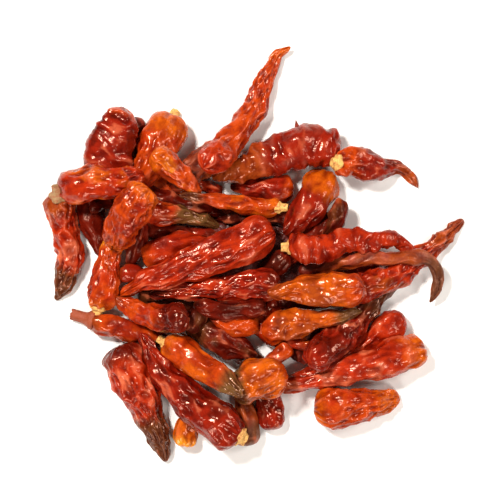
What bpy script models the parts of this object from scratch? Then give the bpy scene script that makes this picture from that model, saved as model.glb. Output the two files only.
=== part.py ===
"""Heap of loose dried chillies, lying as they fell on a table.

One solid: a low core under the middle, the pods that lie on and round it, and their cut
stalks, all fused. Metres, +Z up, with the origin on the table under the heap's middle.
"""

import math
from typing import NamedTuple

import bmesh
import bpy
from mathutils import Vector

# Driving sizes, metres
HEAP_WIDTH = 0.1471  # from the leftmost pod to the tip of the rightmost
PLAN_WIDTH = 420  # the same width in steps of the plan below
STEP = HEAP_WIDTH / PLAN_WIDTH
PRESS = 0.0018  # how far a hollow, wrinkled pod beds into another
FLOOR_PRESS = 0.0005  # how far it flattens on the table
FLATNESS = 0.8  # thickness of a pod over its width, as drying flattens it
CORE_MIDDLE = (-2, -8)  # steps
CORE_RADII = (92, 40)  # steps
CORE_HEIGHT = 0.0055
STALK_SIDES = 7
STALK_TAPER = 0.8  # cut end over the end at the pod
STALK_SINK = 0.0016  # length of a stalk inside its pod

# Outline of a pod seen from above, between its widest place and its tip
FULL_POWER = 4  # a full pod keeps its width nearly to the end
SLIM_POWER = 1.3  # a slim one narrows a little faster than a straight cone

# How the pods settle
STATIONS = 16  # places along a pod where its rest on the others is worked out
STEEPEST = 0.46  # rise over run of the steepest pod
LEAN_COST = 0.1  # how much a pod would rather lie level than low
BOWS = (-0.1, -0.05, 0.0, 0.05, 0.1)  # rise of a pod's ends over its middle, by its length

# Facets
POD_SIDES = 8
RING_PITCH = 0.0042  # length of pod that a ring of facets covers
FEWEST_RINGS, MOST_RINGS = 8, 12
FACET_SWELL = 2 / (1 + math.cos(math.pi / POD_SIDES))  # flats and corners share the round form
CORE_SIDES = 20
CORE_RINGS = 8
CURVE_PIECES = 8  # straight pieces between two points of a pod's line
HEADING_SHARE = 0.02  # share of a pod's length, each way, that gives its direction at a place
STALK_SHARE = 0.06  # share of its length at the blunt end that points the stalk
SHARP_ANGLE = math.radians(40)  # faces that meet more sharply show an edge
MERGE = 0.000002  # points nearer than this are one

SKIN_COLOUR = (0.42, 0.035, 0.018, 1.0)
SKIN_ROUGHNESS = 0.38


class Pod(NamedTuple):
    """One chilli on the plan: x right and y up from the heap's middle, in steps."""

    line: tuple  # from the stalk's end to the tip
    width: float
    belly: float = 0.3  # where it is widest, as a share of its length
    fullness: float = 0.5  # 0 narrows evenly to the tip, 1 stays full to the end
    stalk: tuple = ()  # length and width of the cut stalk
    lift: float = 0.0  # steps that its curl holds the stalk end up, or down if negative


# From the table up, so each pod rests on those before it
BOTTOM_PODS = (
    Pod(((-112, 22), (-70, 18), (-28, 12)), 26),
    Pod(((84, 34), (64, 8), (30, -12)), 30),
    Pod(((128, -8), (98, -22), (60, -30)), 26),
    Pod(((-163, 58), (-158, 30), (-147, -8)), 27, 0.4, 0.8),
    Pod(((-118, 134), (-119, 105), (-126, 76)), 29, 0.3, 0.8),
    Pod(((92, 49), (87, 31), (72, 13)), 22, 0.4, 0.6),
    Pod(((-72, 76), (-50, 66), (-28, 57)), 20, 0.4, 0.8),
    Pod(((44, 58), (12, 62), (-20, 64)), 29, 0.3, 0.6),
    Pod(((44, 37), (0, 36), (-42, 32)), 25, 0.3, 0.6),
    Pod(((38, -3), (26, -16), (10, -30)), 22, 0.4, 0.8),
    Pod(((-30, -90), (-8, -106), (14, -112)), 20, 0.4, 0.8),
    Pod(((-60, -70), (-36, -87), (6, -107)), 32, 0.4, 0.7),
    Pod(((-65, -198), (-61, -172), (-44, -138)), 28, 0.35, 0.7),
    Pod(((-2, -197), (-5, -165), (-13, -128)), 25, 0.35, 0.8),
    Pod(((46, -112), (55, -92), (69, -66)), 23, 0.4, 0.8),
    Pod(((32, -46), (13, -70), (30, -92), (66, -92)), 22, 0.4, 0.7),
    Pod(((40, -96), (27, -107), (5, -128)), 22, 0.35, 0.7),
    Pod(((155, -66), (126, -86), (98, -112)), 27, 0.4, 0.8),
    Pod(((-136, -22), (-110, -28), (-78, -36)), 24, 0.4, 0.8),
    Pod(((-109, 32), (-114, 10), (-123, -15)), 21, 0.4, 0.8),
    Pod(((-102, 82), (-90, 68), (-72, 48)), 27, 0.4, 0.8),
    Pod(((-161, -70), (-140, -76), (-115, -82), (-84, -93)), 24, 0.45, 0.8, (20, 13)),
    Pod(((-160, 44), (-140, 46), (-112, 40)), 16, 0.4, 0.8),
    Pod(((-112, 62), (-66, 44), (-22, 40)), 20, 0.4, 0.8),
    Pod(((-112, -42), (-80, -50), (-40, -54)), 18, 0.4, 0.8),
    Pod(((-64, -80), (-54, -63), (-40, -46)), 20, 0.4, 0.8),
    Pod(((28, -52), (55, -54), (88, -56)), 15, 0.4, 0.8),
)
LOWER_PODS = (
    Pod(((-190, 56), (-186, 22), (-182, -8), (-196, -51)), 31, 0.5, 0.5, (9, 14), 22),
    Pod(((-131, -96), (-121, -120), (-108, -147), (-97, -174), (-85, -214)), 44, 0.4, 0.45),
    Pod(((65, -159), (92, -158), (122, -154), (151, -149)), 43, 0.3, 0.65),
    Pod(((-30, 102), (-51, 85), (-80, 62)), 33, 0.4, 0.8),
    Pod(((-148, 72), (-142, 91), (-134, 114), (-126, 142)), 48, 0.42, 0.85),
    Pod(((-78, 133), (-89, 108), (-101, 85), (-115, 65)), 42, 0.4, 0.8, (9, 11)),
    Pod(((-153, -58), (-146, -32), (-142, -8), (-134, 16)), 31, 0.4, 0.75, (8, 12)),
    Pod(((-62, -66), (-92, -68), (-116, -58), (-137, -46)), 31, 0.35, 0.5),
    Pod(((8, -72), (-10, -75), (-40, -67)), 25, 0.4, 0.7),
    Pod(((14, -57), (-18, -59), (-56, -56)), 21, 0.4, 0.8),
    Pod(((-108, -7), (-66, 5), (-18, 2)), 29, 0.35, 0.7),
    Pod(((-126, 46), (-92, 37), (-60, 33), (-28, 22)), 26, 0.35, 0.35),
    Pod(((176, -101), (140, -109), (110, -117), (90, -123), (48, -133), (22, -134)), 38, 0.25, 0.65),
    Pod(((21, -181), (18, -155), (6, -122)), 28, 0.35, 0.8),
    Pod(((58, -111), (82, -95), (107, -67), (130, -45), (154, -30)), 39, 0.35, 0.45),
    Pod(((100, -40), (138, -30), (172, -6), (195, 11), (216, 31)), 30, 0.35, 0.55),
)
MIDDLE_PODS = (
    Pod(((-9, -187), (-46, -162), (-81, -128), (-111, -82)), 43, 0.3, 0.45, (6, 13)),
    Pod(((50, -22), (98, -12), (150, -7), (174, -10), (187, -24), (189, -38), (181, -53)), 17, 0.3, 0.8),
    Pod(((91, 98), (58, 104), (20, 93), (-38, 72)), 44, 0.3, 0.75),
    Pod(((80, 78), (62, 46), (34, 16)), 37, 0.45, 0.65),
    Pod(((-186, 63), (-150, 66), (-125, 68), (-104, 72)), 37, 0.35, 0.8, (), -14),
    Pod(((-98, 60), (-115, 42), (-128, 21), (-137, 2)), 37, 0.4, 0.9),
    Pod(((12, -78), (42, -75), (75, -69), (112, -61)), 30, 0.3, 0.4),
    Pod(((35, -121), (8, -130), (-19, -137)), 45, 0.4, 0.9),
    Pod(((-86, -92), (-52, -111), (-28, -126), (-8, -144)), 33, 0.35, 0.7, (7, 9)),
    Pod(((30, -37), (0, -35), (-45, -40), (-103, -44)), 30, 0.25, 0.55),
)
TOP_PODS = (
    Pod(
        ((-46, 80), (-24, 103), (-4, 126), (10, 153), (19, 177), (28, 196), (41, 205)), 31, 0.25, 0.5
    ),
    Pod(((-97, 96), (-72, 75), (-50, 52)), 24, 0.35, 0.8),
    Pod(((112, -38), (80, -40), (50, -38), (17, -42)), 37, 0.35, 0.5),
    Pod(((38, 3), (76, 4), (118, 10), (148, 7), (170, -4)), 32, 0.28, 0.5, (7, 10)),
    Pod(((85, 87), (110, 86), (135, 83), (150, 81), (161, 74), (170, 63)), 30, 0.35, 0.25, (4, 11), -8),
    Pod(((30, 43), (-5, 46), (-38, 51), (-70, 54)), 20, 0.35, 0.6, (8, 9)),
    Pod(((22, 21), (-6, 6), (-34, -5), (-73, -21), (-105, -32), (-132, -47)), 42, 0.2, 0.55),
)


def smooth_line(points):
    """The plan points joined by one smooth curve, as a list of points in metres."""
    spots = [Vector((x * STEP, y * STEP)) for x, y in points]
    spots = [2 * spots[0] - spots[1], *spots, 2 * spots[-1] - spots[-2]]
    curve = []
    for before, start, end, after in zip(spots, spots[1:], spots[2:], spots[3:]):
        for piece in range(CURVE_PIECES):
            u = piece / CURVE_PIECES
            curve.append(
                0.5
                * (
                    2 * start
                    + (end - before) * u
                    + (2 * before - 5 * start + 4 * end - after) * u**2
                    + (3 * start - before - 3 * end + after) * u**3
                )
            )
    return [*curve, spots[-2]]


class Spine:
    """The middle line of a pod, with its height over the table once it has settled."""

    def __init__(self, pod):
        self.pod = pod
        self.curve = smooth_line(pod.line)
        self.runs = [0.0]
        for here, there in zip(self.curve, self.curve[1:]):
            self.runs.append(self.runs[-1] + (there - here).length)
        chord = self.curve[-1] - self.curve[0]
        self.chord = chord.normalized()
        self.height = 0.0
        self.slope = 0.0
        self.bow = 0.0

    def flat_point(self, t):
        """The plan point at the share t of the length."""
        run = min(max(t, 0.0), 1.0) * self.runs[-1]
        piece = 0
        while piece < len(self.runs) - 2 and self.runs[piece + 1] < run:
            piece += 1
        part = (run - self.runs[piece]) / (self.runs[piece + 1] - self.runs[piece])
        return self.curve[piece].lerp(self.curve[piece + 1], part)

    def reach(self, point):
        """How far along the chord a plan point is."""
        return (point - self.curve[0]).dot(self.chord)

    def half_width(self, t):
        """Half the pod's width at the share t of its length."""
        pod = self.pod
        half = pod.width * STEP / 2
        shoulder = min(pod.belly, half / self.runs[-1])
        if t < shoulder:
            return half * math.sqrt(max(0.0, 1 - (1 - t / shoulder) ** 2))
        if t < pod.belly:
            return half
        u = min(1.0, (t - pod.belly) / (1 - pod.belly))
        full = math.sqrt(1 - u**FULL_POWER)
        slim = (1 - u) ** SLIM_POWER
        return half * (pod.fullness * full + (1 - pod.fullness) * slim)

    def point(self, t):
        """The settled middle of the pod at the share t of its length."""
        flat = self.flat_point(t)
        curl = self.pod.lift * STEP * max(0.0, 1 - 2 * t) ** 2
        rise = self.slope * self.reach(flat) + self.bow * self.runs[-1] * (2 * t - 1) ** 2
        return Vector((flat.x, flat.y, self.height + rise + curl))

    def frame(self, t):
        """The middle, the sideways direction and the upward one at the share t."""
        ahead, behind = min(1.0, t + HEADING_SHARE), max(0.0, t - HEADING_SHARE)
        along = self.point(ahead) - self.point(behind)
        side = along.cross(Vector((0, 0, 1))).normalized()
        return self.point(t), side, side.cross(along).normalized()


def core_height(x, y):
    """The height of the core's top over the table at a plan point in metres."""
    across = (x / STEP - CORE_MIDDLE[0]) / CORE_RADII[0]
    along = (y / STEP - CORE_MIDDLE[1]) / CORE_RADII[1]
    return CORE_HEIGHT * math.sqrt(max(0.0, 1 - across**2 - along**2))


def needed_height(flat, half, laid):
    """The least height of a pod's middle at one place, over all that is already laid."""
    need = half * FLATNESS - FLOOR_PRESS
    under_core = core_height(flat.x, flat.y)
    if under_core > 0:
        need = max(need, under_core + half * FLATNESS - PRESS)
    for other, other_half, other_height in laid:
        clear = half + other_half - PRESS
        apart = (flat - other).length
        if apart < clear:
            rise = FLATNESS * math.sqrt(clear**2 - apart**2)
            need = max(need, other_height + rise)
    return need


def lowest_lie(runs, shares, needs, length):
    """The height, slope and bow with which a pod lies lowest, clear of its supports."""
    lies = []
    for bow in BOWS:
        left = [need - bow * length * (2 * t - 1) ** 2 for need, t in zip(needs, shares)]
        slopes = {0.0}
        for near, near_need in zip(runs, left):
            for far, far_need in zip(runs, left):
                if far > near:
                    slopes.add((far_need - near_need) / (far - near))
        for slope in slopes:
            if abs(slope) <= STEEPEST:
                height = max(need - slope * run for run, need in zip(runs, left))
                mean = height + slope * sum(runs) / len(runs) + bow * length / 3
                cost = mean + LEAN_COST * abs(slope) * length
                lies.append((cost, height, slope, bow))
    return min(lies)[1:]


def settle(pods):
    """Lay the pods down one by one, each as low as those beneath it let it lie."""
    shares = [(station + 0.5) / STATIONS for station in range(STATIONS)]
    spines = []
    laid = []
    for pod in pods:
        spine = Spine(pod)
        flats = [spine.flat_point(t) for t in shares]
        halves = [spine.half_width(t) for t in shares]
        needs = [needed_height(flat, half, laid) for flat, half in zip(flats, halves)]
        runs = [spine.reach(flat) for flat in flats]
        lie = lowest_lie(runs, shares, needs, spine.runs[-1])
        spine.height, spine.slope, spine.bow = lie
        spines.append(spine)
        for t, flat, half in zip(shares, flats, halves):
            laid.append((flat, half, spine.point(t).z))
    return spines


def new_object(name, bm, collection):
    """Give a bmesh to a new object in a collection."""
    mesh = bpy.data.meshes.new(name)
    bm.to_mesh(mesh)
    bm.free()
    made = bpy.data.objects.new(name, mesh)
    collection.objects.link(made)
    return made


def pod_solid(name, spine, collection):
    """A ball drawn out along the pod's middle line, its top pole at the stalk."""
    bm = bmesh.new()
    rings = max(FEWEST_RINGS, min(MOST_RINGS, round(spine.runs[-1] / RING_PITCH)))
    bmesh.ops.create_uvsphere(bm, u_segments=POD_SIDES, v_segments=rings, radius=1.0)
    for vert in bm.verts:
        turn = math.atan2(vert.co.y, vert.co.x)
        even = math.acos(max(-1.0, min(1.0, vert.co.z))) / math.pi
        t = (1 - even / 2) * (1 - vert.co.z) / 2 + even**2 / 2
        middle, side, up = spine.frame(t)
        half = FACET_SWELL * spine.half_width(t) if 0 < t < 1 else 0.0
        across = side * (half * math.cos(turn))
        vert.co = middle + across + up * (half * FLATNESS * math.sin(turn))
    return new_object(name, bm, collection)


def stalk_solid(name, spine, collection):
    """The short cut stalk, a tapered plug let into the pod's blunt end."""
    length, width = (size * STEP for size in spine.pod.stalk)
    start = spine.point(0.0)
    out = (start - spine.point(STALK_SHARE)).normalized()
    bm = bmesh.new()
    bmesh.ops.create_cone(
        bm,
        cap_ends=True,
        segments=STALK_SIDES,
        radius1=width / 2,
        radius2=width / 2 * STALK_TAPER,
        depth=length + STALK_SINK,
    )
    turn = Vector((0, 0, 1)).rotation_difference(out).to_matrix().to_4x4()
    turn.translation = start + out * ((length - STALK_SINK) / 2)
    bmesh.ops.transform(bm, matrix=turn, verts=bm.verts)
    return new_object(name, bm, collection)


def core_solid(name, collection):
    """The low mound inside the heap, its lower half to be cut off at the table."""
    bm = bmesh.new()
    bmesh.ops.create_uvsphere(bm, u_segments=CORE_SIDES, v_segments=CORE_RINGS, radius=1.0)
    radii = Vector((CORE_RADII[0] * STEP, CORE_RADII[1] * STEP, CORE_HEIGHT))
    bmesh.ops.scale(bm, vec=radii, verts=bm.verts)
    middle = Vector((CORE_MIDDLE[0] * STEP, CORE_MIDDLE[1] * STEP, 0))
    bmesh.ops.translate(bm, vec=middle, verts=bm.verts)
    return new_object(name, bm, collection)


def stand_on_table(made):
    """Cut the heap level with the table and close it there with flat faces."""
    bm = bmesh.new()
    bm.from_mesh(made.data)
    bmesh.ops.bisect_plane(
        bm,
        geom=[*bm.verts, *bm.edges, *bm.faces],
        dist=MERGE,
        plane_co=(0, 0, 0),
        plane_no=(0, 0, 1),
        clear_inner=True,
    )
    rims = [edge for edge in bm.edges if edge.is_boundary]
    bmesh.ops.triangle_fill(bm, edges=rims, normal=(0, 0, -1), use_beauty=True)
    bm.to_mesh(made.data)
    bm.free()


def apply_boolean(made, operation, solver, **operand):
    """Add one Boolean modifier and apply it."""
    join = made.modifiers.new(operation.lower(), "BOOLEAN")
    join.operation = operation
    join.solver = solver
    for field, value in operand.items():
        setattr(join, field, value)
    ready = made.evaluated_get(bpy.context.evaluated_depsgraph_get())
    mesh = bpy.data.meshes.new_from_object(ready)
    made.modifiers.clear()
    spent = made.data
    made.data = mesh
    bpy.data.meshes.remove(spent)


def shell_of(face):
    """All the faces joined to this one."""
    found = {face}
    waiting = [face]
    while waiting:
        for edge in waiting.pop().edges:
            for beside in edge.link_faces:
                if beside not in found:
                    found.add(beside)
                    waiting.append(beside)
    return found


def signed_volume(faces):
    """The volume inside a shell of triangles, negative where it is a sealed hollow."""
    total = 0.0
    for face in faces:
        a, b, c = (vert.co for vert in face.verts)
        total += a.cross(b).dot(c) / 6
    return total


def keep_one_body(made):
    """Keep the outer skin of the heap: sealed hollows are filled and scraps dropped."""
    bm = bmesh.new()
    bm.from_mesh(made.data)
    bmesh.ops.triangulate(bm, faces=bm.faces)
    left = set(bm.faces)
    shells = []
    while left:
        shell = shell_of(next(iter(left)))
        left -= shell
        shells.append(shell)
    heap = max(shells, key=signed_volume)
    spare = [face for shell in shells if shell is not heap for face in shell]
    bmesh.ops.delete(bm, geom=spare, context="FACES")
    bm.to_mesh(made.data)
    bm.free()


def skin_material():
    """The dried skin, a deep red with a dull wax shine."""
    skin = bpy.data.materials.new("dried_chilli_skin")
    skin.use_nodes = True
    shader = skin.node_tree.nodes["Principled BSDF"]
    shader.inputs["Base Color"].default_value = SKIN_COLOUR
    shader.inputs["Roughness"].default_value = SKIN_ROUGHNESS
    shader.inputs["Metallic"].default_value = 0.0
    return skin


def clear_scene():
    """Remove whatever the file opened with."""
    for old in list(bpy.data.objects):
        bpy.data.objects.remove(old)


def build():
    """Make the heap as one object at the origin."""
    clear_scene()
    scene_objects = bpy.context.scene.collection
    loose = bpy.data.collections.new("loose_pods")
    scene_objects.children.link(loose)
    heap = core_solid("chilli_heap", scene_objects)
    spines = settle(BOTTOM_PODS + LOWER_PODS + MIDDLE_PODS + TOP_PODS)
    for number, spine in enumerate(spines, 1):
        pod_solid(f"pod_{number:02d}", spine, loose)
        if spine.pod.stalk:
            stalk_solid(f"stalk_{number:02d}", spine, loose)
    apply_boolean(heap, "UNION", "EXACT", operand_type="COLLECTION", collection=loose)
    for spent in list(loose.objects):
        bpy.data.objects.remove(spent)
    bpy.data.collections.remove(loose)
    keep_one_body(heap)
    stand_on_table(heap)
    heap.data.materials.clear()
    heap.data.materials.append(skin_material())
    heap.data.shade_smooth()
    heap.data.set_sharp_from_angle(angle=SHARP_ANGLE)
    return heap


build()
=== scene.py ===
"""A heap of loose dried chillies as it lies on a table: the looks over the heap's solid.

Metres, +Z up, with the origin on the table under the heap's middle. The real pods lie where
the heap's solid holds them, at true size, over a low core of their own. The plan of the heap
is in steps, and a step is the heap's width divided by PLAN_WIDTH.
"""

import logging
import math
from dataclasses import dataclass
from enum import Enum
from itertools import product

import bmesh
import bpy
import numpy as np
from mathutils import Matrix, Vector

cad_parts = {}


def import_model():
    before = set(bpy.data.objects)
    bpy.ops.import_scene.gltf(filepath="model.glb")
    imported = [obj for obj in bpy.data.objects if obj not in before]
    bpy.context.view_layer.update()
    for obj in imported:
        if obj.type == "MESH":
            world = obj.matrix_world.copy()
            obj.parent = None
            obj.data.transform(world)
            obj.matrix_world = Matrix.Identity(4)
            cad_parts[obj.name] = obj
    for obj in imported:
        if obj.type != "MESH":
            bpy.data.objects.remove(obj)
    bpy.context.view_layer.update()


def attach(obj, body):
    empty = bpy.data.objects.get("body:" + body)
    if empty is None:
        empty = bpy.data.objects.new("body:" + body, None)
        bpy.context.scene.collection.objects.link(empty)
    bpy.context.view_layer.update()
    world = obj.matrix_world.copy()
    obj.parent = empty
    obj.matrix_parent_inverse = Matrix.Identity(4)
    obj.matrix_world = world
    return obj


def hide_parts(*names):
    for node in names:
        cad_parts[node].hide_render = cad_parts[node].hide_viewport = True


LOG = logging.getLogger("dried_chillies")

NODE = "chilli_heap"
BODY = "root"

HEAP_WIDTH = 0.1471  # from the leftmost pod to the tip of the rightmost
PLAN_WIDTH = 420  # the same width in steps of the plan
STEP = HEAP_WIDTH / PLAN_WIDTH
FRAME_STEPS = 500  # width of the camera's view

TONE_SEED = 1000  # seeds of the noises, to which a pod's number is added
STALK_SEED = 2000
CORE_SEED = 3000
WARP_START = 17.3  # where each use of a noise starts, in cells, so that no two run alike
DENT_START = 5.1
MINOR_START = 31.7
CALM_START = 71.0
FLECK_START = 9.0
EDGE_START = 21.0

Plan = tuple[tuple[float, float], ...]
Colour = tuple[float, float, float]
Fade = tuple[float, float]  # where a rise begins and ends, from its edge


class Tone(Enum):
    """Colours of the skins, stalks and core, and the shades over them, in linear light. The fold
    and crease shades are painted shade, and the salmon is painted highlight.
    """

    OXBLOOD = (0.060, 0.005, 0.002)
    MAROON = (0.13, 0.007, 0.002)
    CRIMSON = (0.26, 0.012, 0.003)
    SCARLET = (0.38, 0.022, 0.003)
    VERMILION = (0.45, 0.045, 0.003)
    SALMON_HIGHLIGHT = (0.64, 0.14, 0.06)
    ORANGE = (0.53, 0.088, 0.003)
    AMBER = (0.78, 0.26, 0.014)
    RUST = (0.30, 0.046, 0.006)
    BROWN = (0.11, 0.030, 0.009)
    OLIVE = (0.14, 0.062, 0.018)
    MAUVE = (0.25, 0.040, 0.024)
    STRAW = (0.82, 0.47, 0.13)
    TAN = (0.36, 0.21, 0.09)
    CLOUD_SHADE = (0.66, 0.46, 0.42)
    PAINTED_FOLD_SHADE = (0.36, 0.12, 0.08)
    PAINTED_CREASE_SHADE = (0.45, 0.2, 0.15)
    FIBRE_SHADE = (0.5, 0.4, 0.3)


class Lay(Enum):
    """How the folds of a skin run: their spacing along the pod and round it, in metres."""

    ALONG = (0.0100, 0.0027)
    TIGHT = (0.0065, 0.0021)
    ACROSS = (0.0030, 0.0110)
    CRUMPLED = (0.0044, 0.0029)
    CRINKLED = (0.0027, 0.0021)
    SLACK = (0.0075, 0.0042)


class Finish(Enum):
    """The finishes that the skins come in."""

    DARK = "dark"
    CRIMSON = "crimson"
    SCARLET = "scarlet"
    VERMILION = "vermilion"
    ORANGE = "orange"
    PAPERY = "papery"


@dataclass(frozen=True)
class Pod:
    """One pod: its place on the plan, its outline and its looks.

    The plan is x right and y up from the heap's middle, in steps.
    """

    line: Plan  # from the stalk's end to the tip
    width: float
    finish: Finish
    body: Tone
    crown: Tone  # at the stalk's end
    tip: Tone
    patch: Tone  # of the blotches
    belly: float = 0.4  # where it is widest, as a share of its length
    fullness: float = 0.8  # 0 narrows evenly to the tip, 1 stays full to the end
    stalk: tuple[float, ...] = ()  # length and width of the cut stalk
    stalk_tone: Tone = Tone.STRAW
    lift: float = 0.0  # steps that its curl holds the stalk end up, or down if negative
    lay: Lay = Lay.CRUMPLED
    blotched: float = 0.35  # share of the skin that the blotches cover
    crown_to: float = 0.12  # share of the length where the crown's colour ends
    tip_from: float = 0.88  # share of the length where the tip's colour begins


BOTTOM_PODS = (
    # a filler pod, coloured maroon and oxblood as painted shade in a shadowed gap
    Pod(((-112, 22), (-70, 18), (-28, 12)), 26, Finish.DARK,
        Tone.MAROON, Tone.MAROON, Tone.OXBLOOD, Tone.CRIMSON, 0.3, 0.5),
    Pod(((84, 34), (64, 8), (30, -12)), 30, Finish.DARK,
        Tone.MAROON, Tone.MAROON, Tone.OXBLOOD, Tone.CRIMSON, 0.3, 0.5),
    Pod(((128, -8), (98, -22), (60, -30)), 26, Finish.DARK,
        Tone.MAROON, Tone.CRIMSON, Tone.BROWN, Tone.BROWN, 0.3, 0.5),
    Pod(((-163, 58), (-158, 30), (-147, -8)), 27, Finish.DARK,
        Tone.MAROON, Tone.CRIMSON, Tone.MAROON, Tone.MAUVE, lay=Lay.TIGHT),
    Pod(((-118, 134), (-119, 105), (-126, 76)), 29, Finish.DARK,
        Tone.MAROON, Tone.MAUVE, Tone.MAROON, Tone.OXBLOOD, 0.3, 0.8),
    Pod(((92, 49), (87, 31), (72, 13)), 22, Finish.DARK,
        Tone.MAROON, Tone.RUST, Tone.OXBLOOD, Tone.BROWN, 0.4, 0.6),
    Pod(((-72, 76), (-50, 66), (-28, 57)), 20, Finish.SCARLET,
        Tone.SCARLET, Tone.CRIMSON, Tone.MAROON, Tone.CRIMSON),
    Pod(((44, 58), (12, 62), (-20, 64)), 29, Finish.DARK,
        Tone.CRIMSON, Tone.VERMILION, Tone.MAROON, Tone.MAROON, 0.3, 0.6),
    Pod(((44, 37), (0, 36), (-42, 32)), 25, Finish.DARK,
        Tone.OXBLOOD, Tone.MAROON, Tone.OXBLOOD, Tone.MAROON, 0.3, 0.6),
    Pod(((38, -3), (26, -16), (10, -30)), 22, Finish.DARK,
        Tone.OXBLOOD, Tone.MAROON, Tone.OXBLOOD, Tone.MAROON),
    Pod(((-30, -90), (-8, -106), (14, -112)), 20, Finish.DARK,
        Tone.OXBLOOD, Tone.MAROON, Tone.BROWN, Tone.MAROON),
    Pod(((-60, -70), (-36, -87), (6, -107)), 32, Finish.DARK,
        Tone.MAROON, Tone.BROWN, Tone.OXBLOOD, Tone.BROWN, 0.4, 0.7, crown_to=0.3),
    Pod(((-65, -198), (-61, -172), (-44, -138)), 28, Finish.ORANGE,
        Tone.ORANGE, Tone.AMBER, Tone.BROWN, Tone.RUST, 0.35, 0.7),
    Pod(((-2, -197), (-5, -165), (-13, -128)), 25, Finish.PAPERY,
        Tone.RUST, Tone.BROWN, Tone.BROWN, Tone.BROWN, 0.35, 0.8, lay=Lay.ALONG,
        crown_to=0.3),
    Pod(((46, -112), (55, -92), (69, -66)), 23, Finish.PAPERY,
        Tone.MAROON, Tone.MAROON, Tone.BROWN, Tone.BROWN),
    Pod(((32, -46), (13, -70), (30, -92), (66, -92)), 22, Finish.SCARLET,
        Tone.SCARLET, Tone.SCARLET, Tone.RUST, Tone.MAROON, 0.4, 0.7, lay=Lay.ACROSS),
    Pod(((40, -96), (27, -107), (5, -128)), 22, Finish.VERMILION,
        Tone.VERMILION, Tone.VERMILION, Tone.RUST, Tone.CRIMSON, 0.35, 0.7),
    Pod(((155, -66), (126, -86), (98, -112)), 27, Finish.SCARLET,
        Tone.SCARLET, Tone.SCARLET, Tone.MAROON, Tone.CRIMSON),
    Pod(((-136, -22), (-110, -28), (-78, -36)), 24, Finish.ORANGE,
        Tone.CRIMSON, Tone.RUST, Tone.BROWN, Tone.RUST),
    Pod(((-109, 32), (-114, 10), (-123, -15)), 21, Finish.DARK,
        Tone.MAROON, Tone.CRIMSON, Tone.MAROON, Tone.MAUVE, lay=Lay.TIGHT),
    Pod(((-102, 82), (-90, 68), (-72, 48)), 27, Finish.SCARLET,
        Tone.VERMILION, Tone.ORANGE, Tone.CRIMSON, Tone.CRIMSON),
    Pod(((-161, -70), (-140, -76), (-115, -82), (-84, -93)), 24, Finish.SCARLET,
        Tone.VERMILION, Tone.RUST, Tone.MAROON, Tone.CRIMSON, 0.45, 0.8, (20, 13),
        Tone.RUST),
    # a filler pod, coloured maroon and oxblood as painted shade in a shadowed gap
    Pod(((-160, 44), (-140, 46), (-112, 40)), 16, Finish.DARK,
        Tone.MAROON, Tone.MAROON, Tone.OXBLOOD, Tone.OXBLOOD),
    Pod(((-112, 62), (-66, 44), (-22, 40)), 20, Finish.DARK,
        Tone.MAROON, Tone.MAROON, Tone.OXBLOOD, Tone.OXBLOOD),
    Pod(((-112, -42), (-80, -50), (-40, -54)), 18, Finish.DARK,
        Tone.BROWN, Tone.BROWN, Tone.OXBLOOD, Tone.OXBLOOD),
    # a filler pod, coloured oxblood as painted shade where a pod's upper side lies in shadow
    Pod(((-64, -80), (-54, -63), (-40, -46)), 20, Finish.DARK,
        Tone.OXBLOOD, Tone.OXBLOOD, Tone.OXBLOOD, Tone.BROWN),
    # a filler pod, coloured maroon and oxblood as painted shade under the shadowed underside of
    # the orange pod above
    Pod(((28, -52), (55, -54), (88, -56)), 15, Finish.DARK,
        Tone.MAROON, Tone.MAROON, Tone.OXBLOOD, Tone.RUST),
)
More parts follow.
